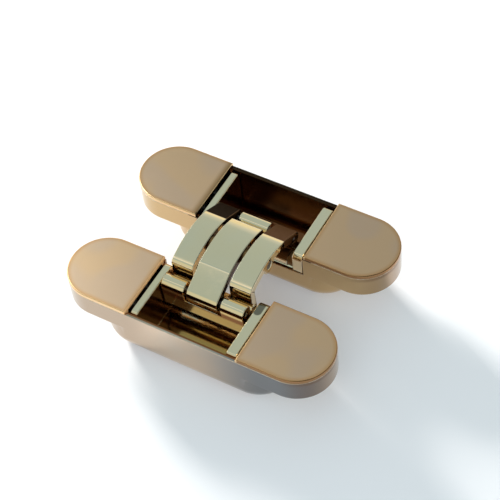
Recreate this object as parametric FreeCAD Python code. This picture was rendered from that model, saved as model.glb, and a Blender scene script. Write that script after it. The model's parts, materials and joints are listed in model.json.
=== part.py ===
import FreeCAD, Part
import cmath
import math
import os

Vector = FreeCAD.Vector

# Leaf: one plate for the frame (y < 0) and a like one for the door (y > 0), open at 180 degrees.
# All drops are measured down from the face, which is the top of the covers.
leaf_length = 110.0
leaf_width = 29.0
leaf_gap = 22.2
leaf_depth = 25.0

# How far a cutting shape reaches past the face that it opens
overcut = 1.0

# Housing: shallow flange with round ends, deeper cup in its middle, pocket for the arms
flange_drop = 11.5
cup_length = 78.0
cup_edge_radius = 8.0
flange_edge_radius = 0.8
rim_drop = 1.6
rim_wall = 1.2
ledge_drop = 2.6
ledge_width = 1.4
end_floor_drop = 8.5
pocket_floor = 2.0
pocket_outer_wall = 1.6
pocket_gap_wall = 1.3
pocket_edge_radius = 6.0
gap_wall_drop = 11.2

# Fixing holes: four countersunk holes in each leaf, under the covers
fixing_inset = 9.0
fixing_spacing_y = 11.0
fixing_hole_radius = 2.2
fixing_sink_radius = 3.9

# Covers
cover_thickness = 1.4
cover_edge_radius = 0.45
cover_pocket_gap = 0.45
cover_lip_width = 1.2
cover_fit = 0.1
clip_inset = 10.75
clip_width = 5.0
clip_thickness = 1.2
clip_reach = 5.0
clip_hook = 0.5
clip_hook_height = 1.0

# Carriage: two end walls on a base plate, with a foot at each end on the platform in the cup.
# The left wall is the thinner one and stands closer to the arms, so the arms lie left of the middle.
left_wall = 2.9
right_wall = 4.2
carriage_top_drop = 1.8
carriage_fit = 0.3
carriage_end_gap = 0.5
carriage_floor_gap = 0.2
carriage_base = 1.3
carriage_nose = 0.3
carriage_nose_radius = 3.0
carriage_back_radius = 2.0
platform_drop = 12.0
foot_thickness = 3.0
foot_length = 13.7
foot_width = 16.0
foot_corner_radius = 3.0
platform_margin = 0.5

# Clamp screws, eccentrics and side screws on the feet
clamp_position = 9.5
clamp_radius = 2.0
clamp_head_radius = 3.8
clamp_head_height = 2.4
clamp_washer_radius = 4.2
clamp_washer_thickness = 0.8
clamp_depth = 8.0
clamp_slot_travel = 1.0
adjuster_position = 3.6
adjuster_offset = 4.3
cam_radius = 2.2
cam_slot_travel = 0.5
cam_throw = 0.4
cam_head_radius = 3.0
cam_head_height = 1.2
cam_shaft_radius = 1.4
cam_shaft_depth = 4.0
side_screw_radius = 2.4
side_screw_length = 4.6
socket_radius = 1.45
socket_depth = 1.5
screw_fit = 0.06
seat_gap = 0.02

# Pivots, given for one leaf: distance from the middle of the hinge, and drop below the face
pivot_y = 14.2
pivot_drop = 8.0
centre_rise = 3.3
head_y = 19.0
head_drop = 3.0
foot_y = 18.3
foot_drop = 12.9
fold_angle = 105.0
link_ratio = 0.99

# Pins and their holes
pivot_pin_radius = 1.75
foot_pin_radius = 1.6
centre_pin_radius = 1.6
head_pin_radius = 1.0
pin_end_inset = 0.2
pin_chamfer = 0.2
press_gap = 0.03
running_gap = 0.07
slot_clearance = 0.12

# Arms and links: strips side by side along X, with wider barrels and links
middle_strip = 13.0
strip_gap = 1.3
outer_strip = 9.1
barrel_overhang = 0.5
left_gap = 0.55
right_gap = 2.15
washer_side_gap = 0.05
washer_radius = 2.8
arm_thickness = 3.45
crest_radius = 31.0
bend_y = 11.0
arm_end_radius = 3.1
centre_barrel_radius = 3.5
pivot_barrel_radius = 3.0
leg_corner_radius = 2.5
leg_inner_radius = 1.2
link_head_radius = 3.0
link_foot_radius = 2.85
link_plate = 3.2
link_reach_gap = 0.45
lug_side_gap = 0.2

# Places worked out from the sizes above
leaf_y = leaf_gap / 2 + leaf_width / 2
leaf_inner_y = leaf_gap / 2
leaf_outer_y = leaf_inner_y + leaf_width
middle_half = middle_strip / 2
outer_low = middle_half + strip_gap
outer_high = outer_low + outer_strip
barrel_half = outer_high + barrel_overhang
carriage_half = barrel_half + (left_gap + left_wall + right_gap + right_wall) / 2
carriage_left = left_wall - carriage_half
carriage_right = carriage_half - right_wall
arms_middle = carriage_right - right_gap - barrel_half
pocket_half = carriage_half + carriage_end_gap
cover_start = pocket_half + cover_pocket_gap
pocket_low_y = leaf_inner_y + pocket_gap_wall
pocket_high_y = leaf_outer_y - pocket_outer_wall
foot_start = carriage_half - min(left_wall, right_wall)
foot_end = carriage_half + foot_length
fixing_x = leaf_length / 2 - fixing_inset
clip_x = cover_start + clip_inset


def drop(depth):
    """Height of a point that lies this far below the face."""
    return leaf_depth - depth


# Pivots as complex numbers y + z j, for the frame side and, mirrored, for the door side
frame_pivot = complex(-pivot_y, drop(pivot_drop))
frame_head = complex(-head_y, drop(head_drop))
frame_foot = complex(-foot_y, drop(foot_drop))
centre = complex(0, drop(-centre_rise))


def across(point):
    """The same point on the other leaf."""
    return complex(-point.real, point.imag)


def box(x, y, z):
    """Block between a low and a high value on each axis."""
    return Part.makeBox(x[1] - x[0], y[1] - y[0], z[1] - z[0], Vector(x[0], y[0], z[0]))


def rod(point, radius, x):
    """Round bar along X, from x[0] to x[1]."""
    start = Vector(x[0], point.real, point.imag)
    return Part.makeCylinder(radius, x[1] - x[0], start, Vector(1, 0, 0))


def post(x, y, radius, z):
    """Round bar along Z, from z[0] to z[1]."""
    return Part.makeCylinder(radius, z[1] - z[0], Vector(x, y, z[0]), Vector(0, 0, 1))


def stadium(length, width, z):
    """Upright block with round ends, centred on the door leaf."""
    radius = width / 2
    straight = length / 2 - radius
    low_y = leaf_y - radius
    high_y = leaf_y + radius
    near_left = Vector(-straight, low_y, z[0])
    near_right = Vector(straight, low_y, z[0])
    far_right = Vector(straight, high_y, z[0])
    far_left = Vector(-straight, high_y, z[0])
    right_tip = Vector(length / 2, leaf_y, z[0])
    left_tip = Vector(-length / 2, leaf_y, z[0])
    outline = Part.Wire([
        Part.LineSegment(near_left, near_right).toShape(),
        Part.Arc(near_right, right_tip, far_right).toShape(),
        Part.LineSegment(far_right, far_left).toShape(),
        Part.Arc(far_left, left_tip, near_left).toShape(),
    ])
    return Part.Face(outline).extrude(Vector(0, 0, z[1] - z[0]))


def fuse(shapes):
    """One solid from several that touch."""
    return shapes[0].fuse(shapes[1:]).removeSplitter()


def round_edges(shape, radius, wanted):
    """Fillet the edges for which wanted(edge box) is true."""
    edges = [edge for edge in shape.Edges if wanted(edge.BoundBox)]
    return shape.makeFillet(radius, edges)


def is_flat_at(z):
    """Test for edges that lie in the level plane at z."""
    return lambda bounds: abs(bounds.ZMin - z) < 0.001 and abs(bounds.ZMax - z) < 0.001


def is_along_x_at(y, z):
    """Test for edges along X that pass through y and z."""
    return lambda bounds: (abs(bounds.YMin - y) + abs(bounds.YMax - y) < 0.01
                           and abs(bounds.ZMin - z) + abs(bounds.ZMax - z) < 0.01)


def to_frame_side(shape):
    """Mirror a piece of the door leaf to the frame leaf."""
    return shape.mirror(Vector(0, 0, 0), Vector(0, 1, 0))


def both_ends(shape):
    """A piece at the right end of the leaf with its mirror image at the left end."""
    return [shape, shape.mirror(Vector(0, 0, 0), Vector(1, 0, 0))]


def beside_arms(shape):
    """Move a piece that was drawn about the arms' middle to its place between the walls."""
    return shape.translated(Vector(arms_middle, 0, 0))


def hexagon(x, y, radius, z):
    """Six-sided prism for a key socket."""
    corners = []
    for step in range(7):
        angle = math.radians(60 * step)
        corners.append(Vector(x + radius * math.cos(angle), y + radius * math.sin(angle), z[0]))
    return Part.Face(Part.makePolygon(corners)).extrude(Vector(0, 0, z[1] - z[0]))


def foot_plan(margin, z):
    """Block over a carriage foot at the right end, with round outer corners."""
    y = (leaf_y - foot_width / 2 - margin, leaf_y + foot_width / 2 + margin)
    block = box((foot_start, foot_end + margin), y, z)
    edge = foot_end + margin
    return round_edges(block, foot_corner_radius + margin,
                       lambda bounds: bounds.ZLength > (z[1] - z[0]) / 2 and bounds.XMin > edge - 0.01)


def carriage_section(low_y, high_y, low_z, high_z, x):
    """Block with round lower edges along X, as the pocket and the carriage have them."""
    block = box(x, (low_y, high_y), (low_z, high_z))
    return round_edges(block, pocket_edge_radius,
                       lambda bounds: abs(bounds.ZMax - low_z) < 0.01 and bounds.XLength > 0.01
                       and bounds.YLength < 0.01)


def make_housing():
    """Die-cast body of the door leaf."""
    flange = stadium(leaf_length, leaf_width, (drop(flange_drop), drop(rim_drop)))
    flange = round_edges(flange, flange_edge_radius, is_flat_at(drop(flange_drop)))
    cup = stadium(cup_length, leaf_width, (0, drop(flange_drop) + flange_edge_radius))
    cup = round_edges(cup, cup_edge_radius, is_flat_at(0))
    body = fuse([flange, cup])
    inner_half = (pocket_half, leaf_length)
    seat_length = leaf_length - 2 * rim_wall
    seat_width = leaf_width - 2 * rim_wall
    seat = stadium(seat_length, seat_width, (drop(ledge_drop), leaf_depth))
    recess = stadium(seat_length - 2 * ledge_width, seat_width - 2 * ledge_width,
                     (drop(end_floor_drop), leaf_depth))
    end_space = box(inner_half, (0, 2 * leaf_outer_y), (0, leaf_depth))
    pocket = carriage_section(pocket_low_y, pocket_high_y, pocket_floor, leaf_depth,
                              (-pocket_half, pocket_half))
    gap_cut = box((-pocket_half, pocket_half), (leaf_inner_y - overcut, pocket_low_y + overcut),
                  (drop(gap_wall_drop), leaf_depth))
    cuts = [pocket, gap_cut]
    cuts += both_ends(seat.common(end_space))
    cuts += both_ends(recess.common(end_space))
    cuts += both_ends(foot_plan(platform_margin, (drop(platform_drop), leaf_depth)))
    for offset in (-1, 1):
        cuts += both_ends(make_fixing_hole(offset * fixing_spacing_y / 2))
        cuts += both_ends(make_clip_notch(offset))
    clamp_bore = post(carriage_half + clamp_position, leaf_y, clamp_radius + screw_fit,
                      (drop(platform_drop) - clamp_depth - overcut, leaf_depth))
    cam_bore = post(carriage_half + adjuster_position, leaf_y + adjuster_offset,
                    cam_shaft_radius + screw_fit,
                    (drop(platform_drop) - cam_shaft_depth - overcut, leaf_depth))
    cuts += both_ends(clamp_bore)
    cuts += both_ends(cam_bore)
    return body.cut(cuts).removeSplitter()


def make_fixing_hole(offset):
    """Countersunk hole through the flange at the right end."""
    y = leaf_y + offset
    floor = drop(end_floor_drop)
    sink_depth = fixing_sink_radius - fixing_hole_radius
    hole = post(fixing_x, y, fixing_hole_radius, (drop(flange_drop) - overcut, floor + overcut))
    sink = Part.makeCone(fixing_hole_radius, fixing_sink_radius, sink_depth,
                         Vector(fixing_x, y, floor - sink_depth))
    return hole.fuse(sink)


def clip_box(side, reach, x_margin, z):
    """Space beside the long wall of the recess, side -1 towards the gap."""
    wall = leaf_width / 2 - rim_wall - ledge_width
    inner = wall - clip_thickness
    low = leaf_y + side * inner
    high = leaf_y + side * (wall + reach)
    x = (clip_x - clip_width / 2 - x_margin, clip_x + clip_width / 2 + x_margin)
    return box(x, (min(low, high), max(low, high)), z)


def make_clip_notch(side):
    """Notch in the wall of the recess, where a cover's clip hooks in."""
    hook_z = drop(cover_thickness + clip_reach)
    return clip_box(side, clip_hook + cover_fit, cover_fit,
                    (hook_z - cover_fit, hook_z + clip_hook_height + cover_fit))


def make_cover():
    """Cover of the right end of the door leaf."""
    plate = stadium(leaf_length, leaf_width, (drop(cover_thickness), leaf_depth))
    end_space = box((cover_start, leaf_length), (0, 2 * leaf_outer_y), (0, 2 * leaf_depth))
    plate = plate.common(end_space)
    plate = round_edges(plate, cover_edge_radius, is_flat_at(leaf_depth))
    inset = rim_wall + cover_fit
    lip_z = (drop(ledge_drop) + seat_gap, drop(cover_thickness))
    lip = stadium(leaf_length - 2 * inset, leaf_width - 2 * inset, lip_z)
    inset += cover_lip_width
    hollow = stadium(leaf_length - 2 * inset, leaf_width - 2 * inset, lip_z)
    pieces = [plate, lip.cut(hollow).common(end_space)]
    for side in (-1, 1):
        pieces.append(make_clip(side))
    return fuse(pieces)


def make_clip(side):
    """Springy tongue under a cover, with its hook."""
    top = drop(cover_thickness)
    tongue = clip_box(side, -cover_fit, 0, (top - clip_reach, top))
    hook = clip_box(side, clip_hook, 0, (top - clip_reach, top - clip_reach + clip_hook_height))
    return fuse([tongue, hook])


def make_carriage():
    """Base plate, end walls and feet in one casting, for the door leaf."""
    low_y = pocket_low_y + carriage_fit
    high_y = pocket_high_y - carriage_fit
    low_z = pocket_floor + carriage_floor_gap
    top_z = drop(carriage_top_drop)
    length = (-carriage_half, carriage_half)
    body = carriage_section(low_y, high_y, low_z, top_z, length)
    body = round_edges(body, carriage_back_radius, is_along_x_at(high_y, top_z))
    nose_y = leaf_inner_y + carriage_nose
    nose = box(length, (nose_y, low_y + carriage_nose_radius), (drop(gap_wall_drop) + carriage_fit, top_z))
    nose = round_edges(nose, carriage_nose_radius, is_along_x_at(nose_y, top_z))
    corner_y = low_y + carriage_nose_radius
    square = box(length, (low_y, corner_y), (top_z - carriage_nose_radius, top_z))
    body = body.cut(square)
    channel = box((carriage_left, carriage_right), (0, leaf_outer_y),
                  (low_z + carriage_base, leaf_depth))
    body = fuse([body, nose]).cut(channel)
    foot_z = (drop(platform_drop) + seat_gap, drop(platform_drop - foot_thickness))
    body = fuse([body] + both_ends(foot_plan(0, foot_z)))
    cuts = both_ends(oblong(clamp_position, 0, clamp_radius + screw_fit, clamp_slot_travel))
    cuts += both_ends(oblong(adjuster_position, adjuster_offset, cam_radius + screw_fit, cam_slot_travel))
    side_bore = post(carriage_half + adjuster_position, leaf_y - adjuster_offset,
                     side_screw_radius + screw_fit, (0, leaf_depth))
    cuts += both_ends(side_bore.common(foot_plan(0, (0, leaf_depth))))
    pin_span = (-leaf_length, leaf_length)
    cuts.append(rod(across(frame_pivot), pivot_pin_radius + press_gap, pin_span))
    cuts.append(rod(across(frame_foot), foot_pin_radius + press_gap, pin_span))
    return body.cut(cuts).removeSplitter()


def oblong(position, offset, radius, travel):
    """Slot through a foot, long in X."""
    x = carriage_half + position
    y = leaf_y + offset
    z = (drop(platform_drop) - overcut, drop(platform_drop - foot_thickness) + overcut)
    middle = box((x - travel, x + travel), (y - radius, y + radius), z)
    return fuse([middle, post(x - travel, y, radius, z), post(x + travel, y, radius, z)])


def make_clamp_screw():
    """Screw that clamps the right foot to the platform."""
    x = carriage_half + clamp_position
    seat = drop(platform_drop - foot_thickness) + clamp_washer_thickness + 2 * seat_gap
    shank = post(x, leaf_y, clamp_radius, (drop(platform_drop) - clamp_depth, seat))
    head = post(x, leaf_y, clamp_head_radius, (seat, seat + clamp_head_height))
    top = seat + clamp_head_height
    socket = hexagon(x, leaf_y, socket_radius, (top - socket_depth, top + overcut))
    return fuse([shank, head]).cut(socket)


def make_clamp_washer():
    """Washer under the head of a clamp screw."""
    x = carriage_half + clamp_position
    seat = drop(platform_drop - foot_thickness) + seat_gap
    z = (seat, seat + clamp_washer_thickness)
    disc = post(x, leaf_y, clamp_washer_radius, z)
    return disc.cut(post(x, leaf_y, clamp_radius + screw_fit, z))


def make_eccentric():
    """Depth adjuster: a shaft in the platform with an offset cam in the slot of the foot."""
    x = carriage_half + adjuster_position
    y = leaf_y + adjuster_offset
    floor = drop(platform_drop)
    top = drop(platform_drop - foot_thickness) + seat_gap
    shaft = post(x, y, cam_shaft_radius, (floor - cam_shaft_depth, top))
    cam = post(x + cam_throw, y, cam_radius, (floor + seat_gap, top))
    head_top = top + cam_head_height
    head = post(x, y, cam_head_radius, (top, head_top))
    socket = hexagon(x, y, socket_radius, (head_top - socket_depth, head_top + overcut))
    return fuse([shaft, cam, head]).cut(socket)


def make_side_screw():
    """Set screw in the foot that stands on the platform."""
    x = carriage_half + adjuster_position
    y = leaf_y - adjuster_offset
    low = drop(platform_drop) + seat_gap
    top = low + side_screw_length
    socket = hexagon(x, y, socket_radius, (top - socket_depth, top + overcut))
    return post(x, y, side_screw_radius, (low, top)).cut(socket)


def crest_height(y, radius):
    """Height of the arch of an arm at y."""
    middle = centre.imag + centre_barrel_radius - crest_radius
    return middle + math.sqrt(radius * radius - y * y)


def arm_outline():
    """Side view of an arm: leg and barrel on the frame side, straight end on the door side."""
    arch = complex(0, centre.imag + centre_barrel_radius - crest_radius)
    inner_radius = crest_radius - arm_thickness
    head = across(frame_head)
    leg_top = complex(frame_pivot.real, crest_height(frame_pivot.real, crest_radius))
    crest = complex(0, crest_height(0, crest_radius))
    bend = complex(bend_y, crest_height(bend_y, crest_radius))
    reach = head - bend
    run = reach / abs(reach) * cmath.exp(1j * math.asin(arm_end_radius / abs(reach)))
    up = run * 1j
    tangent = head + up * arm_end_radius
    inset = arm_end_radius - arm_thickness
    under = head + up * inset - run * math.sqrt(arm_end_radius ** 2 - inset ** 2)
    tip = head + arm_end_radius * (run - up) / abs(run - up)
    offset = under - arch
    along = offset.real * run.real + offset.imag * run.imag
    back = along + math.sqrt(along ** 2 - abs(offset) ** 2 + inner_radius ** 2)
    inner_bend = under - run * back
    inner_y = frame_pivot.real + pivot_barrel_radius
    inner_corner = complex(inner_y, crest_height(inner_y, inner_radius))
    inner_crest = complex(0, crest_height(0, inner_radius))
    barrel_side = frame_pivot + pivot_barrel_radius
    barrel_low = frame_pivot + pivot_barrel_radius * cmath.exp(1j * math.radians(225))
    barrel_top = frame_pivot + pivot_barrel_radius * 1j
    edges = [
        line(barrel_top, leg_top),
        arc(leg_top, crest, bend),
        line(bend, tangent),
        arc(tangent, tip, under),
        line(under, inner_bend),
        arc(inner_bend, inner_crest, inner_corner),
        line(inner_corner, barrel_side),
        arc(barrel_side, barrel_low, barrel_top),
    ]
    return edges, leg_top, inner_corner


def line(start, end):
    """Straight edge in the plane x = 0."""
    return Part.LineSegment(Vector(0, start.real, start.imag), Vector(0, end.real, end.imag)).toShape()


def arc(start, middle, end):
    """Round edge in the plane x = 0."""
    return Part.Arc(Vector(0, start.real, start.imag), Vector(0, middle.real, middle.imag),
                    Vector(0, end.real, end.imag)).toShape()


def arm_strip(x):
    """One strip of an arm, with its centre barrel."""
    edges, leg_top, inner_corner = arm_outline()
    face = Part.Face(Part.Wire(edges))
    face.translate(Vector(x[0], 0, 0))
    strip = face.extrude(Vector(x[1] - x[0], 0, 0))
    strip = round_edges(strip, leg_corner_radius, is_along_x_at(leg_top.real, leg_top.imag))
    strip = round_edges(strip, leg_inner_radius, is_along_x_at(inner_corner.real, inner_corner.imag))
    return fuse([strip, rod(centre, centre_barrel_radius, x)])


def head_path():
    """Places of a link's head pin in the arm's own frame, over the whole fold, door side."""
    to_centre = centre - frame_pivot
    to_head = across(frame_head) - centre
    fold = math.radians(fold_angle)
    turn = math.pi / fold - 1
    places = []
    steps = 40
    for step in range(steps + 1):
        angle = fold * step / steps
        arm_head = frame_pivot + to_centre * cmath.exp(1j * angle)
        arm_head -= to_head.conjugate() * cmath.exp(1j * turn * angle)
        link_head = frame_foot + (frame_head - frame_foot) * cmath.exp(1j * link_ratio * angle)
        away = (link_head - arm_head) * cmath.exp(-1j * turn * angle)
        places.append(across(away))
    return places


def head_slot(x):
    """Slot in the end of the outer arm, as long as the link's head pin needs."""
    places = head_path()
    lowest = min(places, key=lambda place: place.real)
    highest = max(places, key=lambda place: place.real)
    direction = (highest - lowest) / abs(highest - lowest)
    turned = [place / direction for place in places]
    low = min(place.imag for place in turned)
    high = max(place.imag for place in turned)
    radius = head_pin_radius + (high - low) / 2 + slot_clearance
    head = across(frame_head)
    ends = []
    for extreme in (lowest, highest):
        along = (extreme / direction).real
        ends.append(head + complex(along, (low + high) / 2) * direction)
    side = direction * 1j * radius
    corners = [ends[0] + side, ends[1] + side, ends[1] - side, ends[0] - side, ends[0] + side]
    polygon = Part.makePolygon([Vector(x[0], corner.real, corner.imag) for corner in corners])
    middle = Part.Face(polygon).extrude(Vector(x[1] - x[0], 0, 0))
    return fuse([middle, rod(ends[0], radius, x), rod(ends[1], radius, x)])


def make_outer_arm():
    """Two strips joined by the barrel on the frame's main pivot."""
    strips = both_ends(arm_strip((outer_low, outer_high)))
    barrel = rod(frame_pivot, pivot_barrel_radius, (-barrel_half, barrel_half))
    body = fuse(strips + [barrel])
    span = (-leaf_length, leaf_length)
    cuts = [
        rod(frame_pivot, pivot_pin_radius + running_gap, span),
        rod(centre, centre_pin_radius + press_gap, span),
        head_slot(span),
    ]
    return body.cut(cuts)


def make_middle_arm():
    """Single strip with a wide barrel on the door's main pivot."""
    strip = arm_strip((-middle_half, middle_half))
    barrel = rod(frame_pivot, pivot_barrel_radius, (-barrel_half, barrel_half))
    body = fuse([strip, barrel])
    span = (-leaf_length, leaf_length)
    cuts = [
        rod(frame_pivot, pivot_pin_radius + running_gap, span),
        rod(centre, centre_pin_radius + running_gap, span),
        head_slot(span),
    ]
    return to_frame_side(body.cut(cuts))


def link_plate_strip(x):
    """Flat part of a link on the frame side, between its head and its foot."""
    reach = frame_head - frame_foot
    lean = math.asin((link_head_radius - link_foot_radius) / abs(reach))
    away = reach / abs(reach) * 1j * cmath.exp(-1j * lean)
    outer_head = frame_head + away * link_head_radius
    outer_foot = frame_foot + away * link_foot_radius
    corners = [outer_head, outer_foot, outer_foot - away * link_plate,
               outer_head - away * link_plate, outer_head]
    polygon = Part.makePolygon([Vector(x[0], corner.real, corner.imag) for corner in corners])
    return Part.Face(polygon).extrude(Vector(x[1] - x[0], 0, 0))


def make_link(high_spans):
    """Link of the frame leaf: full width at the foot, and up to the head in the given spans."""
    width = (-barrel_half, barrel_half)
    travel = max(abs(place) for place in head_path())
    clear = rod(frame_head, arm_end_radius + travel + link_reach_gap, width)
    pieces = [rod(frame_foot, link_foot_radius, width), link_plate_strip(width).cut(clear)]
    for span in high_spans:
        pieces.append(link_plate_strip(span))
        pieces.append(rod(frame_head, link_head_radius, span))
    span = (-leaf_length, leaf_length)
    cuts = [
        rod(frame_foot, foot_pin_radius + running_gap, span),
        rod(frame_head, head_pin_radius + press_gap, span),
    ]
    return fuse(pieces).cut(cuts)


def make_pin(point, radius, half):
    """Plain pin with chamfered ends."""
    pin = rod(point, radius, (-half, half))
    ends = [edge for edge in pin.Edges if edge.BoundBox.XLength < 0.001]
    return pin.makeChamfer(pin_chamfer, ends)


def make_washer(point, pin_radius, x):
    """Washer on a pin, in the gap from x[0] to x[1]."""
    span = (x[0] + washer_side_gap, x[1] - washer_side_gap)
    return rod(point, washer_radius, span).cut(rod(point, pin_radius + running_gap, span))


def make_wall_washers(point, pin_radius):
    """Thin washer at the left wall and spacer at the right wall, on a pin of the door leaf."""
    left = make_washer(point, pin_radius, (carriage_left, arms_middle - barrel_half))
    right = make_washer(point, pin_radius, (arms_middle + barrel_half, carriage_right))
    return Part.makeCompound([left, right])


def add_leaf(name, place):
    """All nodes of one leaf; place turns a door-side shape into that leaf's own."""
    nodes[name + "_housing"] = place(make_housing())
    nodes[name + "_carriage"] = place(make_carriage())
    cover_right, cover_left = both_ends(make_cover())
    nodes[name + "_cover_right"] = place(cover_right)
    nodes[name + "_cover_left"] = place(cover_left)
    fasteners = {
        "_clamp_screws": make_clamp_screw(),
        "_clamp_washers": make_clamp_washer(),
        "_eccentrics": make_eccentric(),
        "_side_screws": make_side_screw(),
    }
    for ending, shape in fasteners.items():
        nodes[name + ending] = place(Part.makeCompound(both_ends(shape)))
    pivot = across(frame_pivot)
    foot = across(frame_foot)
    head = across(frame_head)
    pin_half = carriage_half - pin_end_inset
    nodes[name + "_pivot_pin"] = place(make_pin(pivot, pivot_pin_radius, pin_half))
    nodes[name + "_foot_pin"] = place(make_pin(foot, foot_pin_radius, pin_half))
    head_pin = make_pin(head, head_pin_radius, outer_high - pin_end_inset)
    nodes[name + "_head_pin"] = place(beside_arms(head_pin))
    nodes[name + "_pivot_washers"] = place(make_wall_washers(pivot, pivot_pin_radius))
    nodes[name + "_foot_washers"] = place(make_wall_washers(foot, foot_pin_radius))


nodes = {}
add_leaf("door", lambda shape: shape)
add_leaf("frame", to_frame_side)
nodes["outer_arm"] = beside_arms(make_outer_arm())
nodes["middle_arm"] = beside_arms(make_middle_arm())
ears = [(-barrel_half, -outer_low), (outer_low, barrel_half)]
lug = [(lug_side_gap - middle_half, middle_half - lug_side_gap)]
nodes["frame_link"] = beside_arms(make_link(ears))
nodes["door_link"] = beside_arms(to_frame_side(make_link(lug)))
centre_pin = make_pin(centre, centre_pin_radius, outer_high - pin_end_inset)
nodes["centre_pin"] = beside_arms(centre_pin)
centre_washer = make_washer(centre, centre_pin_radius, (middle_half, outer_low))
nodes["centre_washers"] = beside_arms(Part.makeCompound(both_ends(centre_washer)))

os.makedirs("parts", exist_ok=True)
for node_name, node_shape in nodes.items():
    node_shape.exportStep("parts/" + node_name + ".step")
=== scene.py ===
import json
import math
import bmesh
import bpy
from mathutils import Matrix, Vector

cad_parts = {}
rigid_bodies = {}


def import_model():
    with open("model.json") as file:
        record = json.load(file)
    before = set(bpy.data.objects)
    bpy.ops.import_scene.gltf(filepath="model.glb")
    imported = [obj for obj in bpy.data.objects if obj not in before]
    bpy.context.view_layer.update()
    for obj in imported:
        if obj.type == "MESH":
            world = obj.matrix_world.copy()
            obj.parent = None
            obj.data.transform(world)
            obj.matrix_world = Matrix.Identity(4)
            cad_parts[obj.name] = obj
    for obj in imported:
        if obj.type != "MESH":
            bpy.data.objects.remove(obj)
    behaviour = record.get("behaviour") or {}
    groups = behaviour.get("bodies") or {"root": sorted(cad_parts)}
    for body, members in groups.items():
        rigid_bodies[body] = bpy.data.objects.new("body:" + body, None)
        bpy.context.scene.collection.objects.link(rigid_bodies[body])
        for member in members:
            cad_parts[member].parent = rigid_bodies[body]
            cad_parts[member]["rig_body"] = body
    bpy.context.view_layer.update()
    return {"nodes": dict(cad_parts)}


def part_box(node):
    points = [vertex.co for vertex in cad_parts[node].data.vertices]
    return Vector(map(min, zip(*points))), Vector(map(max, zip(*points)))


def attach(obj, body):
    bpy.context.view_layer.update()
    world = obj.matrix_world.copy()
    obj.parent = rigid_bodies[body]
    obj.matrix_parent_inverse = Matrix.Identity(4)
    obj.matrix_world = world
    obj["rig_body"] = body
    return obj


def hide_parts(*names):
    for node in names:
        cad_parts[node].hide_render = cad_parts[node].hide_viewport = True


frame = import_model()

mm = 0.001

# The view: one camera above the near right corner, looking down on the open hinge.
# The angles, the offsets and the focal length were fitted to the corners of the four covers.
view_azimuth = math.radians(34.656)
view_elevation = math.radians(51.595)
view_roll = math.radians(-6.707)
view_aside = 6.099 * mm
view_above = 2.452 * mm
view_distance = 595.6 * mm
focal_length_pixels = 1603.1
frame_pixels = 500
sensor_mm = 36
leaf_depth = 25 * mm

back = Vector((math.sin(view_azimuth) * math.cos(view_elevation),
               -math.cos(view_azimuth) * math.cos(view_elevation),
               math.sin(view_elevation)))
level_right = Vector((math.cos(view_azimuth), math.sin(view_azimuth), 0))
level_up = back.cross(level_right)
right = math.cos(view_roll) * level_right + math.sin(view_roll) * level_up
up = math.cos(view_roll) * level_up - math.sin(view_roll) * level_right
place = view_aside * right + view_above * up + view_distance * back + Vector((0, 0, leaf_depth))
camera_data = bpy.data.cameras.new("camera")
camera_data.sensor_width = sensor_mm
camera_data.lens = focal_length_pixels * sensor_mm / frame_pixels
camera_data.clip_start = 0.01
camera = bpy.data.objects.new("camera", camera_data)
camera.matrix_world = Matrix.Translation(place) @ Matrix((right, up, back)).transposed().to_4x4()
bpy.context.scene.collection.objects.link(camera)
bpy.context.scene.camera = camera
bpy.context.scene.view_settings.view_transform = "Standard"


# The studio: a pale light table that the cups stand on, in a room that is cream low down and bluish overhead,
# with a row of lamps and a dark upper right. A low window lights the table from the left, a dim panel lifts
# the satin of the left covers, and a bluish fill from the right keeps the shadows on the table pale.
room_stops = (
    (0.0, (0.95, 0.92, 0.74)),
    (0.21, (0.95, 0.94, 0.72)),
    (0.28, (0.72, 0.80, 0.80)),
    (0.41, (0.48, 0.61, 0.65)),
    (1.0, (0.44, 0.58, 0.64)),
)
dark_colour = (0.15, 0.18, 0.20)
dark_from_x = (-0.1, 0.4)
dark_from_z = (0.36, 0.56)
lamp_colour = (0.95, 1, 0.98)
lamp_y = -0.29
lamp_half_width = (0.08, 0.02)
front_colour = (0.70, 0.76, 0.66)
front_from_y = (-0.58, -0.72)
floor_half = 3.0
floor_colour = (0.66, 0.66, 0.67)
floor_roughness = 0.9
floor_shine = 0.1
table_colour = (1, 0.99, 0.98)
table_glow = 0.22
window_azimuth = -65
window_elevation = 17
window_distance = 1.2
window_size = 0.22
window_power = 37
window_colour = (1, 0.95, 0.90)
panel_azimuth = -88
panel_elevation = 40
panel_distance = 0.4
panel_size = 0.2
panel_power = 0.8
panel_colour = (0.84, 0.98, 1)
fill_azimuth = 150
fill_elevation = 40
fill_distance = 0.7
fill_size = 0.6
fill_power = 2.3
fill_colour = (0.78, 0.88, 1)


class Flow:
    """A value in a node tree, so that its maths reads as plain sums."""

    def __init__(self, tree, socket):
        self.tree = tree
        self.socket = socket

    def maths(self, operation, other, swapped=False):
        node = self.tree.nodes.new("ShaderNodeMath")
        node.operation = operation
        ends = (other, self) if swapped else (self, other)
        for socket, end in zip(node.inputs, ends):
            feed(self.tree, socket, end)
        return Flow(self.tree, node.outputs[0])

    def __add__(self, other):
        return self.maths("ADD", other)

    def __radd__(self, other):
        return self.maths("ADD", other, True)

    def __sub__(self, other):
        return self.maths("SUBTRACT", other)

    def __rsub__(self, other):
        return self.maths("SUBTRACT", other, True)

    def __mul__(self, other):
        return self.maths("MULTIPLY", other)

    def __rmul__(self, other):
        return self.maths("MULTIPLY", other, True)

    def __truediv__(self, other):
        return self.maths("DIVIDE", other)


def feed(tree, socket, end):
    """Give a socket a link from a Flow, or a plain value."""
    if isinstance(end, Flow):
        tree.links.new(end.socket, socket)
    elif isinstance(end, tuple) and len(end) == 3 and len(socket.default_value) == 4:
        socket.default_value = (*end, 1)
    else:
        socket.default_value = end


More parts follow.
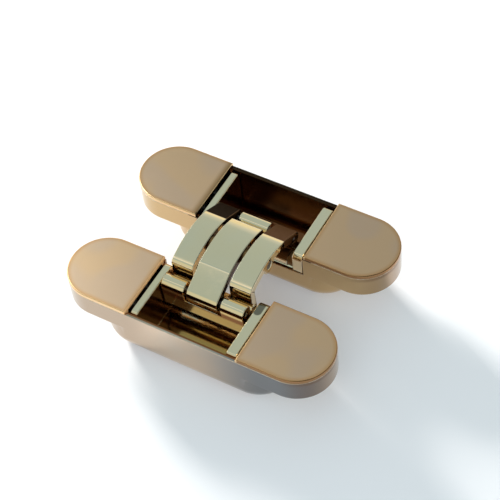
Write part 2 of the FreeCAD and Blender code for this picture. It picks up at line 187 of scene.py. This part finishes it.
class Wiring:
    """A node tree as it is made up."""

    def __init__(self, tree):
        self.tree = tree

    def add(self, kind, settings=None, inputs=None, output=0):
        """Add a node: its settings first, then the values or links of its sockets."""
        node = self.tree.nodes.new(kind)
        for name, value in (settings or {}).items():
            if name == "stops":
                for extra in value[2:]:
                    node.color_ramp.elements.new(extra[0])
                for element, (position, colour) in zip(node.color_ramp.elements, value):
                    element.position = position
                    element.color = (*colour, 1)
            else:
                setattr(node, name, value)
        for name, value in (inputs or {}).items():
            feed(self.tree, node.inputs[name], value)
        return Flow(self.tree, node.outputs[output])

    def ramp(self, value, low, high):
        """0 at low and 1 at high, smooth between and level beyond."""
        return self.add("ShaderNodeMapRange", {"interpolation_type": "SMOOTHSTEP"},
                        {"Value": value, "From Min": low, "From Max": high})

    def blend(self, factor, first, second):
        """Mix two colours."""
        return self.add("ShaderNodeMix", {"data_type": "RGBA"}, {0: factor, 6: first, 7: second}, 2)

    def axes(self, vector):
        """X, Y and Z of a vector."""
        return [self.add("ShaderNodeSeparateXYZ", {}, {0: vector}, axis) for axis in range(3)]


class Finish(Wiring):
    """A material around one Principled shader."""

    def __init__(self, name):
        self.material = bpy.data.materials.new(name)
        self.material.use_nodes = True
        super().__init__(self.material.node_tree)
        self.shader = self.tree.nodes["Principled BSDF"]

    def place(self):
        """The point's place on the object in millimetres, as a vector and as X, Y and Z."""
        object_place = self.add("ShaderNodeTexCoord", output="Object")
        scaled = self.add("ShaderNodeVectorMath", {"operation": "SCALE"}, {0: object_place, "Scale": 1 / mm})
        return scaled, self.axes(scaled)

    def noise(self, vector, scale, detail=2.0):
        """Soft noise from 0 to 1; scale is in waves per millimetre."""
        return self.add("ShaderNodeTexNoise", {}, {"Vector": vector, "Scale": scale, "Detail": detail})

    def grain(self, vector, stretch, scale):
        """Noise drawn out into lines: stretch divides each axis."""
        drawn = self.add("ShaderNodeVectorMath", {"operation": "DIVIDE"}, {0: vector, 1: stretch})
        return self.noise(drawn, scale, 3.0)

    def bump(self, height, distance, below=None):
        """Fine relief of this depth in metres, on top of another."""
        inputs = {"Height": height, "Distance": distance}
        if below:
            inputs["Normal"] = below
        return self.add("ShaderNodeBump", {}, inputs)

    def set(self, **values):
        """Feed the shader's own sockets, named with _ for a space."""
        for name, value in values.items():
            feed(self.tree, self.shader.inputs[name.replace("_", " ")], value)


world = bpy.data.worlds.new("room")
world.use_nodes = True
room = Wiring(world.node_tree)
gaze_x, gaze_y, gaze_z = room.axes(room.add("ShaderNodeTexCoord", output="Generated"))
room_colour = room.add("ShaderNodeValToRGB", {"stops": room_stops}, {"Fac": gaze_z})
in_lamps = room.ramp((gaze_y - lamp_y).maths("ABSOLUTE", 0), *lamp_half_width)
room_colour = room.blend(in_lamps, room_colour, lamp_colour)
room_colour = room.blend(room.ramp(gaze_y, *front_from_y), room_colour, front_colour)
in_dark = room.ramp(gaze_x, *dark_from_x) * room.ramp(gaze_z, *dark_from_z)
room_colour = room.blend(in_dark, room_colour, dark_colour)
feed(world.node_tree, world.node_tree.nodes["Background"].inputs["Color"], room_colour)
bpy.context.scene.world = world

floor_finish = Finish("floor_paint")
floor_finish.set(Base_Color=floor_colour, Roughness=floor_roughness, Specular_IOR_Level=floor_shine,
                 Emission_Color=table_colour, Emission_Strength=table_glow)
floor_mesh = bpy.data.meshes.new("floor")
corners = [(-floor_half, -floor_half, 0), (floor_half, -floor_half, 0), (floor_half, floor_half, 0),
           (-floor_half, floor_half, 0)]
floor_mesh.from_pydata(corners, [], [(0, 1, 2, 3)])
floor_mesh.materials.append(floor_finish.material)
floor = bpy.data.objects.new("floor", floor_mesh)
bpy.context.scene.collection.objects.link(floor)


def soft_box(name, azimuth, elevation, distance, size, power, colour):
    """Square light that faces the hinge; azimuth is counted from +Y towards +X."""
    data = bpy.data.lights.new(name, "AREA")
    data.size = size
    data.energy = power
    data.color = colour
    light = bpy.data.objects.new(name, data)
    level = math.cos(math.radians(elevation)) * distance
    spot = Vector((math.sin(math.radians(azimuth)) * level, math.cos(math.radians(azimuth)) * level,
                   math.sin(math.radians(elevation)) * distance))
    light.location = spot
    light.rotation_euler = spot.to_track_quat("Z", "Y").to_euler()
    bpy.context.scene.collection.objects.link(light)
    return light


window = soft_box("window", window_azimuth, window_elevation, window_distance, window_size,
                  window_power, window_colour)
window.visible_glossy = False
panel = soft_box("panel", panel_azimuth, panel_elevation, panel_distance, panel_size,
                 panel_power, panel_colour)
panel.visible_diffuse = False
fill = soft_box("fill", fill_azimuth, fill_elevation, fill_distance, fill_size, fill_power, fill_colour)
fill.visible_glossy = False


# Housings: one die-cast zinc body for each leaf, plated in a warm nickel tone and polished.
# The shallow flange lies in the door or the frame, and the deep cup takes the arms; its inside is painted in
# a dark copper shade.
housing_tone = (0.66, 0.53, 0.41)
housing_warm_tone = (0.70, 0.52, 0.37)
# Painted shade: a dark copper tone for the inside of the cups.
painted_pocket_shade_tone = (0.30, 0.115, 0.04)
# Painted shade, darker still, for the inside of the door's cup.
painted_deep_shade_tone = (0.17, 0.06, 0.02)
pocket_half = 27
pocket_low = 1
leaf_y = 25.6
pocket_reach = 13.7
rim_top = 23.25
inner_haze = 0.08
# Painted reflection of the table's shadow: a grey tone on the frame's cup toward its right end.
painted_shadow_tone = (0.25, 0.245, 0.245)
painted_shadow_from_x = (0, 34)
painted_shadow_from_y = (24, 38)
# Painted reflection: a golden tone on the door leaf's wall at the gap.
painted_reflection_tone = (0.62, 0.43, 0.225)
painted_reflection_until_y = (14, 24)
# Painted shade: a darker tone toward the left end of the frame's leaf.
painted_left_shade_tone = (0.47, 0.36, 0.265)
left_shade_from_x = (4, 24)
# Painted dark reflections under the rim and toward the right ends of both leaves' walls.
painted_dark_reflection_tone = (0.20, 0.11, 0.06)
dark_reflection_from_x = (38, 52)
dark_reflection_from_z = (19.5, 22.5)
dark_reflection_share = 0.8
end_from_x = (40, 52)
end_share = 0.5
# Painted shade on the top of the door's rim, between its covers.
painted_rim_shade_tone = (0.05, 0.025, 0.012)
edge_paleness = 0.35
housing_ease = 0.15 * mm
sharp_angle = math.radians(32)
flat_angle = math.radians(0.4)
merge_distance = 0.001 * mm
cloud_waves = 0.07
cloud_limits = (0.35, 0.65)
cloud_share = 0.6
smudge_waves = 0.45
smudge_limits = (0.48, 0.75)
hairline_stretch = (12, 1, 1)
hairline_waves = 3.5
hairline_depth = 0.0004 * mm
mark_limits = (0.60, 0.72)
mark_share = 0.15
mark_haze = 0.05
casting_waves = 0.08
casting_depth = 0.010 * mm
rub_waves = 0.6
rub_limits = (0.42, 0.62)
rub_haze = 0.10
edge_roughness = 0.16


def plated(name, tone, warm_tone, roughness, *patches):
    """Polished plating: cloudy tone, faint smudges, hairline polishing marks and a slow casting wave.
    A patch is another tone, the function that finds its places and how much hazier it is there."""
    finish = Finish(name)
    spot, axes = finish.place()
    cloud = finish.ramp(finish.noise(spot, cloud_waves), *cloud_limits)
    smudge = finish.ramp(finish.noise(spot, smudge_waves, 3.0), *smudge_limits)
    hairlines = finish.grain(spot, hairline_stretch, hairline_waves)
    marks = finish.ramp(hairlines, *mark_limits)
    wave = finish.bump(finish.noise(spot, casting_waves, 0.0), casting_depth)
    plating = finish.blend(cloud * cloud_share + marks * mark_share, tone, warm_tone)
    for patch_tone, places, haze in patches:
        here = places(finish, axes)
        plating = finish.blend(here, plating, patch_tone)
        if haze:
            roughness = roughness + here * haze
    finish.set(Base_Color=plating,
               Metallic=1.0,
               Roughness=roughness + smudge * mark_haze + marks * mark_haze,
               Normal=finish.bump(hairlines, hairline_depth, wave))
    return finish.material


def worn_edge(name, tone, paleness, *patches):
    """Eased edge where the plating is rubbed lighter by this share, but for the patches."""
    finish = Finish(name)
    spot, axes = finish.place()
    rub = finish.ramp(finish.noise(spot, rub_waves, 3.0), *rub_limits)
    pale = tuple(paleness + (1 - paleness) * part for part in tone)
    rubbed = finish.blend(rub, tone, pale)
    for patch_tone, places in patches:
        rubbed = finish.blend(places(finish, axes), rubbed, patch_tone)
    finish.set(Base_Color=rubbed, Metallic=1.0, Roughness=edge_roughness + rub * rub_haze)
    return finish.material


def eased_copy(node_name, ease, materials, least_angle=sharp_angle):
    """Copy of a CAD node with its loose triangles joined and its edges from this angle up rounded."""
    shape = bmesh.new()
    shape.from_mesh(frame["nodes"][node_name].data)
    bmesh.ops.remove_doubles(shape, verts=shape.verts, dist=merge_distance)
    bmesh.ops.dissolve_limit(shape, angle_limit=flat_angle, verts=shape.verts, edges=shape.edges)
    for face in shape.faces:
        face.smooth = True
        face.material_index = 0
    for edge in shape.edges:
        edge.smooth = len(edge.link_faces) != 2 or edge.calc_face_angle(0) < sharp_angle
    mesh = bpy.data.meshes.new(node_name + "_eased")
    shape.to_mesh(mesh)
    shape.free()
    for material in materials:
        mesh.materials.append(material)
    rough = bpy.data.objects.new(node_name + "_rough", mesh)
    bpy.context.scene.collection.objects.link(rough)
    bevel = rough.modifiers.new("ease", "BEVEL")
    bevel.width = ease
    bevel.segments = 2
    bevel.limit_method = "ANGLE"
    bevel.angle_limit = least_angle
    bevel.use_clamp_overlap = False
    bevel.material = len(materials) - 1
    levelled = rough.modifiers.new("level", "WEIGHTED_NORMAL")
    levelled.mode = "FACE_AREA"
    levelled.weight = 100
    levelled.keep_sharp = True
    seen = bpy.context.evaluated_depsgraph_get()
    finished = bpy.data.meshes.new_from_object(rough.evaluated_get(seen))
    bpy.data.objects.remove(rough)
    piece = bpy.data.objects.new(node_name + "_finished", finished)
    bpy.context.scene.collection.objects.link(piece)
    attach(piece, frame["nodes"][node_name]["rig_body"])
    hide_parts(node_name)
    return piece


def on_door(finish, axes):
    """All of the door's leaf."""
    return finish.ramp(axes[1], 0, 1)


def on_frame(finish, axes):
    """All of the frame's leaf."""
    return finish.ramp(axes[1] * -1, 0, 1)


def in_pocket(finish, axes):
    """The inner walls and the floor of a cup, where shade is painted."""
    across, along, above = axes
    from_leaf = (along.maths("ABSOLUTE", 0) - leaf_y).maths("ABSOLUTE", 0)
    inside = finish.ramp(pocket_reach - from_leaf, -0.2, 0.2)
    over_floor = finish.ramp(above, pocket_low, pocket_low + 0.5)
    return finish.ramp(pocket_half - across.maths("ABSOLUTE", 0), 0, 1) * (inside * over_floor)


def on_door_rim(finish, axes):
    """The top of the door's rim, between its covers, painted dark as shade."""
    across, along, above = axes
    between_covers = finish.ramp(pocket_half - across.maths("ABSOLUTE", 0), 0, 1)
    return between_covers * on_door(finish, axes) * finish.ramp(above, rim_top - 0.3, rim_top)


def in_door_pocket(finish, axes):
    """The inside of the door's cup, painted in the darker shade."""
    return in_pocket(finish, axes) * on_door(finish, axes)


def in_frame_pocket(finish, axes):
    """The inside of the frame's cup, painted in copper shade."""
    return in_pocket(finish, axes) * on_frame(finish, axes)


def painted_shadow_at_right(finish, axes):
    """The outside of the frame's cup toward its right end, painted grey for the table's shadow that it
    reflects.
    """
    return finish.ramp(axes[0], *painted_shadow_from_x) * finish.ramp(axes[1] * -1, *painted_shadow_from_y)


def on_door_front(finish, axes):
    """The wall of the door's leaf at the gap, painted golden for the lit table that it reflects."""
    return on_door(finish, axes) * (1 - finish.ramp(axes[1], *painted_reflection_until_y))


def shaded_at_left(finish, axes):
    """The outside of the frame's leaf toward its left end, painted darker as shade."""
    return finish.ramp(axes[0] * -1, *left_shade_from_x) * on_frame(finish, axes)


def toward_right_end(finish, axes):
    """Painted dark reflections under the rim at the right ends, and a thinner one below it."""
    across, along, above = axes
    under_rim = finish.ramp(across, *dark_reflection_from_x) * finish.ramp(above, *dark_reflection_from_z) * dark_reflection_share
    return under_rim.maths("MAXIMUM", finish.ramp(across, *end_from_x) * end_share)


housing_plating = plated("housing_plating", housing_tone, housing_warm_tone, 0.10,
                         (painted_reflection_tone, on_door_front, 0), (painted_left_shade_tone, shaded_at_left, 0),
                         (painted_shadow_tone, painted_shadow_at_right, 0.03), (painted_dark_reflection_tone, toward_right_end, 0.05),
                         (painted_deep_shade_tone, in_door_pocket, inner_haze), (painted_pocket_shade_tone, in_frame_pocket, inner_haze),
                         (painted_rim_shade_tone, on_door_rim, inner_haze))
housing_edge = worn_edge("housing_edge", housing_warm_tone, edge_paleness, (painted_pocket_shade_tone, in_pocket),
                         (painted_rim_shade_tone, on_door_rim))
for leaf in ("frame", "door"):
    housing = eased_copy(leaf + "_housing", housing_ease, [housing_plating, housing_edge])


# Carriages: one casting in each cup, with two end walls, a base plate and a foot at each end.
# They carry the pins, and their polished wall tops show as bars beside the covers.
bar_tone = (0.86, 0.70, 0.46)
bar_warm_tone = (0.88, 0.69, 0.42)
bar_ease = 0.3 * mm
# Painted shade: the carriage walls below the bars are darker inside the cup.
painted_wall_shade_tone = (0.42, 0.20, 0.08)
wall_top = 22.6
base_top = 4.0
wall_end = 12.0
# Painted dark reflection: a dark spot at the gap end of the frame's right bar.
painted_dark_spot_tone = (0.23, 0.19, 0.13)
dark_spot_x = 19.6
dark_spot_until_y = -17.0
dark_spot_half = 1.6


def below_bars(finish, axes):
    """All of a carriage but its base, the tops of its walls and the ends of the walls at the gap: painted
    shade in the cup.
    """
    across, along, above = axes
    between = finish.ramp(above, base_top, base_top + 0.4) - finish.ramp(above, wall_top - 0.4, wall_top)
    return between * finish.ramp(along.maths("ABSOLUTE", 0), wall_end, wall_end + 0.6)


def painted_dark_spot(finish, axes):
    """The gap end of the frame's right bar, with a painted dark reflection where the arm passes it."""
    across, along, above = axes
    aside = across - dark_spot_x
    beyond = (dark_spot_until_y - along).maths("MAXIMUM", 0)
    from_end = (aside * aside + beyond * beyond).maths("SQRT", 0)
    on_bar = on_frame(finish, axes) * finish.ramp(above, wall_top - 0.4, wall_top)
    return (1 - finish.ramp(from_end, dark_spot_half - 0.3, dark_spot_half + 0.3)) * on_bar


bar_plating = plated("bar_plating", bar_tone, bar_warm_tone, 0.09,
                     (painted_wall_shade_tone, below_bars, inner_haze), (painted_dark_spot_tone, painted_dark_spot, 0))
bar_edge = worn_edge("bar_edge", bar_warm_tone, edge_paleness)
for leaf in ("frame", "door"):
    carriage = eased_copy(leaf + "_carriage", bar_ease, [bar_plating, bar_edge])


# Screws on the carriage feet: a clamp screw and a side set screw at each end of a leaf, of bright steel.
# Each is turned with a rolled thread and a pressed key socket, and sits under the cover.
steel_tone = (0.56, 0.55, 0.52)
ring_stretch = (1, 14, 14)
ring_waves = 5.0
ring_haze = 0.10
ring_depth = 0.002 * mm
oil_waves = 0.5
oil_limits = (0.42, 0.68)
oil_haze = 0.06
oil_shade = 0.82
screw_inputs = (
    ("Head Radius", "NodeSocketFloat"), ("Head Height", "NodeSocketFloat"), ("Chamfer", "NodeSocketFloat"),
    ("Shank Radius", "NodeSocketFloat"), ("Shank Length", "NodeSocketFloat"),
    ("Thread Depth", "NodeSocketFloat"), ("Pitch", "NodeSocketFloat"),
    ("Socket Radius", "NodeSocketFloat"), ("Socket Depth", "NodeSocketFloat"),
    ("First Place", "NodeSocketVector"), ("Step", "NodeSocketVector"), ("Finish", "NodeSocketMaterial"),
)


def turned(name, tone, roughness):
    """Turned and ground steel: fine rings about X, as on the pins, and a faint haze of oil."""
    finish = Finish(name)
    spot = finish.place()[0]
    rings = finish.grain(spot, ring_stretch, ring_waves)
    haze = finish.ramp(finish.noise(spot, oil_waves, 3.0), *oil_limits)
    darker = tuple(oil_shade * part for part in tone)
    finish.set(Base_Color=finish.blend(haze, tone, darker), Metallic=1.0,
               Roughness=roughness + rings * ring_haze + haze * oil_haze,
               Normal=finish.bump(rings, ring_depth))
    return finish.material


class Growth(Wiring):
    """A Geometry Nodes tree with named inputs."""

    def __init__(self, name, inputs):
        tree = bpy.data.node_groups.new(name, "GeometryNodeTree")
        tree.interface.new_socket("Geometry", in_out="OUTPUT", socket_type="NodeSocketGeometry")
        for label, kind in inputs:
            tree.interface.new_socket(label, in_out="INPUT", socket_type=kind)
        super().__init__(tree)
        self.entry = tree.nodes.new("NodeGroupInput")

    def value(self, label):
        return Flow(self.tree, self.entry.outputs[label])

    def upright(self, shape, height):
        """Lift a shape along Z."""
        lift = self.add("ShaderNodeCombineXYZ", {}, {"Z": height})
        return self.add("GeometryNodeTransform", {}, {"Geometry": shape, "Translation": lift})

    def join(self, *shapes):
        node = self.tree.nodes.new("GeometryNodeJoinGeometry")
        for shape in shapes:
            self.tree.links.new(shape.socket, node.inputs[0])
        return Flow(self.tree, node.outputs[0])

    def end(self, shape):
        """Close the tree: real geometry with the finish on it."""
        real = self.add("GeometryNodeRealizeInstances", {}, {0: shape})
        dressed = self.add("GeometryNodeSetMaterial", {},
                           {"Geometry": real, "Material": self.value("Finish")})
        output = self.tree.nodes.new("NodeGroupOutput")
        self.tree.links.new(dressed.socket, output.inputs[0])

    def grown(self, name, values):
        """Mesh object of this tree with these inputs."""
        seed = bpy.data.objects.new(name + "_seed", bpy.data.meshes.new(name + "_seed"))
        bpy.context.scene.collection.objects.link(seed)
        modifier = seed.modifiers.new("growth", "NODES")
        modifier.node_group = self.tree
        for item in self.tree.interface.items_tree:
            if item.in_out == "INPUT":
                modifier[item.identifier] = values[item.name]
        seen = bpy.context.evaluated_depsgraph_get()
        mesh = bpy.data.meshes.new_from_object(seed.evaluated_get(seen))
        bpy.data.objects.remove(seed)
        piece = bpy.data.objects.new(name, mesh)
        bpy.context.scene.collection.objects.link(piece)
        return piece


screw = Growth("machine_screw", screw_inputs)
core_radius = screw.value("Shank Radius") - screw.value("Thread Depth")
core = screw.add("GeometryNodeMeshCylinder", {}, {"Vertices": 32, "Radius": core_radius,
                                                  "Depth": screw.value("Shank Length")})
core = screw.upright(core, screw.value("Shank Length") * -0.5)
helix = screw.add("GeometryNodeCurveSpiral", {}, {
    "Resolution": 24, "Rotations": screw.value("Shank Length") / screw.value("Pitch"),
    "Start Radius": core_radius, "End Radius": core_radius, "Height": screw.value("Shank Length")})
ridge_section = screw.add("GeometryNodeCurvePrimitiveCircle", {"mode": "RADIUS"},
                          {"Resolution": 3, "Radius": screw.value("Thread Depth")})
ridge = screw.add("GeometryNodeCurveToMesh", {}, {"Curve": helix, "Profile Curve": ridge_section,
                                                 "Fill Caps": True})
ridge = screw.upright(ridge, screw.value("Shank Length") * -1)
head_side = screw.value("Head Height") - screw.value("Chamfer")
head = screw.add("GeometryNodeMeshCylinder", {}, {"Vertices": 48, "Radius": screw.value("Head Radius"),
                                                  "Depth": head_side})
head = screw.upright(head, head_side * 0.5)
crown = screw.add("GeometryNodeMeshCone", {}, {
    "Vertices": 48, "Radius Bottom": screw.value("Head Radius"),
    "Radius Top": screw.value("Head Radius") - screw.value("Chamfer"), "Depth": screw.value("Chamfer")})
crown = screw.upright(crown, head_side)
whole_head = screw.add("GeometryNodeMeshBoolean", {"operation": "UNION"}, {"Mesh 2": screw.join(head, crown)})
key = screw.add("GeometryNodeMeshCylinder", {}, {"Vertices": 6, "Radius": screw.value("Socket Radius"),
                                                 "Depth": screw.value("Socket Depth") * 2})
key = screw.upright(key, screw.value("Head Height"))
whole_head = screw.add("GeometryNodeMeshBoolean", {"operation": "DIFFERENCE"},
                       {"Mesh 1": whole_head, "Mesh 2": key})
places = screw.add("GeometryNodeMeshLine", {"mode": "OFFSET"}, {
    "Count": 2, "Start Location": screw.value("First Place"), "Offset": screw.value("Step")})
screw.end(screw.add("GeometryNodeInstanceOnPoints", {}, {
    "Points": places, "Instance": screw.join(core, ridge, whole_head)}))

bright_steel = turned("bright_steel", steel_tone, 0.22)


def screw_pair(node_name, head_radius, head_height, shank_radius):
    """Both screws of a CAD node, at its own places and of its own length."""
    low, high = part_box(node_name)
    middle = (low + high) / 2
    reach = high.x - head_radius
    seat = high.z - head_height
    pair = screw.grown(node_name + "_threaded", {
        "Head Radius": head_radius, "Head Height": head_height, "Chamfer": 0.25 * mm,
        "Shank Radius": shank_radius, "Shank Length": seat - low.z,
        "Thread Depth": 0.28 * mm, "Pitch": 0.7 * mm,
        "Socket Radius": 1.45 * mm, "Socket Depth": 1.5 * mm,
        "First Place": (-reach, middle.y, seat), "Step": (2 * reach, 0, 0), "Finish": bright_steel})
    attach(pair, frame["nodes"][node_name]["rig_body"])
    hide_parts(node_name)


for leaf in ("frame", "door"):
    screw_pair(leaf + "_clamp_screws", head_radius=3.8 * mm, head_height=2.4 * mm, shank_radius=2.0 * mm)
    screw_pair(leaf + "_side_screws", head_radius=2.4 * mm, head_height=1.7 * mm, shank_radius=2.4 * mm)


# Eccentrics and pins: the eccentrics on the feet set the depth of the leaf, and the arms and links turn on
# the pins, which are pressed into the walls or the ears. All are turned and ground from steel.
# Washers: turned from sintered bronze, dark with oil; they keep the arms off one another and off the walls.
bronze_tone = (0.24, 0.13, 0.05)
oiled_tone = (0.20, 0.185, 0.18)
oiled_bronze = turned("oiled_bronze", bronze_tone, 0.35)
oiled_steel = turned("oiled_steel", oiled_tone, 0.3)


def dress(node_name, material):
    """Show a CAD node as it is, in this material."""
    mesh = frame["nodes"][node_name].data
    mesh.materials.clear()
    mesh.materials.append(material)


for node_name in frame["nodes"]:
    if node_name.endswith(("_eccentrics", "clamp_washers")):
        dress(node_name, bright_steel)
    elif node_name.endswith("_pin"):
        dress(node_name, oiled_steel)
    elif node_name.endswith("washers"):
        dress(node_name, oiled_bronze)


# Covers: four thin caps that clip into the flanges over the screws.
# Their tops are blasted to a satin champagne; the rounded rims are left polished.
cover_tone = (0.68, 0.42, 0.245)
cover_grey_tone = (0.64, 0.41, 0.268)
# Painted reflection: an orange copper tone along the outline of each cover's face.
painted_edge_reflection_tone = (0.62, 0.32, 0.14)
cover_rim_tone = (0.85, 0.58, 0.32)
# Painted shade on the rims of the right covers.
painted_cover_rim_shade_tone = (0.38, 0.20, 0.09)
cover_roughness = 0.42
cover_rim_roughness = 0.12
rim_height = 0.06
face_mm = leaf_depth / mm
round_middle = 40.5
round_radius = 14.5
cover_start = 23.25
edge_reflection_width = 2.2
# Painted shade on the door's left cover, beside the bar.
bar_shade_width = 3.2
painted_bar_shade_tone = (0.30, 0.16, 0.07)
bar_shade_share = 0.8
# Painted highlight: an orange, less metallic straight side on the frame's left cover.
painted_side_glint_tone = (0.95, 0.55, 0.25)
straight_side_haze = 0.6
straight_side_metal = 0.2
straight_side_x = (0.2, 0.5)
outline_x = (0.6, 0.9)
satin_cloud_waves = 0.06
satin_cloud_limits = (0.42, 0.60)
grit_waves = 9.0
grit_depth = 0.004 * mm
touch_waves = 0.25
touch_limits = (0.45, 0.75)
touch_haze = 0.04

satin = Finish("champagne_satin")
spot, (across, along, above) = satin.place()
is_face = satin.ramp(above, face_mm - rim_height, face_mm - 0.005)
cloud = satin.ramp(satin.noise(spot, satin_cloud_waves, 0.0), *satin_cloud_limits)
grit = satin.noise(spot, grit_waves)
touch = satin.ramp(satin.noise(spot, touch_waves, 3.0), *touch_limits)
face_colour = satin.blend(cloud, cover_tone, cover_grey_tone)
from_middle = across.maths("ABSOLUTE", 0)
past_round = (from_middle - round_middle).maths("MAXIMUM", 0)
from_axis = along.maths("ABSOLUTE", 0) - leaf_y
from_round = (past_round * past_round + from_axis * from_axis).maths("SQRT", 0)
to_edge = (round_radius - from_round).maths("MINIMUM", from_middle - cover_start)
# Painted reflection: the copper tone near the outline of the face.
face_colour = satin.blend(1 - satin.ramp(to_edge, 0, edge_reflection_width), face_colour, painted_edge_reflection_tone)
# Painted shade on the top of the door's left cover, beside the bar.
beside_bar = 1 - satin.ramp(across * -1 - cover_start, 0, bar_shade_width)
on_left = satin.ramp(across * -1, 0, 1)
bar_shade = beside_bar * on_left * on_door(satin, (across, along, above)) * bar_shade_share
face_colour = satin.blend(bar_shade, face_colour, painted_bar_shade_tone)
# Painted shade: the rims of the right covers are darker.
on_outline = satin.ramp(across, 0, 1) * satin.ramp(from_middle - cover_start, *outline_x)
rim_colour = satin.blend(on_outline, cover_rim_tone, painted_cover_rim_shade_tone)
# Painted highlight on the straight side of the frame's left cover, in orange and less metallic.
straight_side = (1 - satin.ramp(from_middle - cover_start, *straight_side_x)) * (1 - is_face)
straight_side = straight_side * on_left * on_frame(satin, (across, along, above))
rim_colour = satin.blend(straight_side, rim_colour, painted_side_glint_tone)
satin.set(Base_Color=satin.blend(is_face, rim_colour, face_colour),
          Metallic=1 - straight_side * (1 - straight_side_metal),
          Roughness=(cover_rim_roughness + straight_side * straight_side_haze
                     + is_face * (cover_roughness - cover_rim_roughness + touch * touch_haze)),
          Normal=satin.bump(grit * is_face, grit_depth))
for leaf in ("frame", "door"):
    for side in ("left", "right"):
        dress(leaf + "_cover_" + side, satin.material)


# Arms: the outer one has two strips and the middle one has one, and they cross at the centre pin.
# They are cast zinc with the same polished plating as the bars, bright along their eased edges.
arm_ease = 0.28 * mm
arms_middle = -1.45
strip_gap_middle = 7.15
strip_gap_half = (0.67, 0.72)
shaded_tone = (0.10, 0.05, 0.02)
gold_tone = (0.86, 0.54, 0.20)
gold_above = ((5.0, 5.8), (7.8, 8.6))
gold_below = (3.2, 4.4)
left_gap_x = (5, 6)
bend_y = (11.3, 11.6)
bend_angle = math.radians(9)
outer_strips_from = (7.1, 7.2)
russet_tone = (0.15, 0.06, 0.02)
darkest_tone = (0.03, 0.014, 0.006)
arm_edge_tone = (0.66, 0.58, 0.40)
arm_edge_paleness = 0.1
# Painted shade at the crease across the middle strip.
painted_crease_shade_tone = (0.68, 0.60, 0.42)
crease_y = 10.55
crease_half = (0.2, 0.4)
crease_reach = (6.1, 6.3)


def from_arms_middle(axes):
    """How far to either side of the arms' middle."""
    return (axes[0] - arms_middle).maths("ABSOLUTE", 0)


def between_strips(finish, axes):
    """The sides that the strips turn to one another."""
    from_gap = (from_arms_middle(axes) - strip_gap_middle).maths("ABSOLUTE", 0)
    return 1 - finish.ramp(from_gap, *strip_gap_half)


def lit_between(finish, axes):
    """The stretches of these sides that catch light from below."""
    across, along, above = axes
    lit_above = finish.ramp(along, *gold_above[0]) - finish.ramp(along, *gold_above[1])
    lit_below = finish.ramp(along * -1, *gold_below) * finish.ramp(across * -1, *left_gap_x)
    return between_strips(finish, axes) * lit_above.maths("MAXIMUM", lit_below)


def on_crease(finish, axes):
    """The crease across the middle strip, painted a little darker as shade."""
    from_crease = (axes[1] + crease_y).maths("ABSOLUTE", 0)
    return ((1 - finish.ramp(from_crease, *crease_half))
            * (1 - finish.ramp(from_arms_middle(axes), *crease_reach)))


def past_bend(finish, axes):
    """The ends of the outer strips past their bend, which lie in the shade of the door's cup."""
    on_outer_strips = finish.ramp(from_arms_middle(axes), *outer_strips_from)
    return finish.ramp(axes[1], *bend_y) * on_outer_strips


def past_left_bend(finish, axes):
    """The left one of them, in the corner of the cup."""
    return past_bend(finish, axes) * finish.ramp(axes[0] * -1, *left_gap_x)


arm_plating = plated("arm_plating", bar_tone, bar_warm_tone, 0.08,
                     (shaded_tone, between_strips, inner_haze), (gold_tone, lit_between, 0),
                     (painted_crease_shade_tone, on_crease, 0), (russet_tone, past_bend, 0.5),
                     (darkest_tone, past_left_bend, 0.2))
arm_edge = worn_edge("arm_edge", arm_edge_tone, arm_edge_paleness, (shaded_tone, between_strips),
                     (gold_tone, lit_between), (shaded_tone, past_bend))
for node_name in ("outer_arm", "middle_arm"):
    arm = eased_copy(node_name, arm_ease, [arm_plating, arm_edge], bend_angle)


# Links: short levers between the foot pins and the ends of the arms, plated as the arms are.
# The frame's link has two ears beside the middle strip, and the door's has one lug between the outer strips.
link_ease = 0.25 * mm
# Painted shade: each link's plate is darker below its head, and darkest just below it.
painted_plate_shade_tone = (0.50, 0.36, 0.15)
plate_until_z = (19.5, 21)
shade_from_z = (16.5, 18.0)


def on_plate(finish, axes):
    """The whole plate of a link, below its head, painted darker as shade in the cup."""
    return 1 - finish.ramp(axes[2], *plate_until_z)


def below_ears(finish, axes):
    """The upper part of the plate, just below the head, painted darkest as shade."""
    return finish.ramp(axes[2], *shade_from_z) - finish.ramp(axes[2], *plate_until_z)


link_plating = plated("link_plating", bar_tone, bar_warm_tone, 0.08,
                      (painted_plate_shade_tone, on_plate, 0), (painted_pocket_shade_tone, below_ears, inner_haze))
for node_name in ("frame_link", "door_link"):
    link = eased_copy(node_name, link_ease, [link_plating, arm_edge])
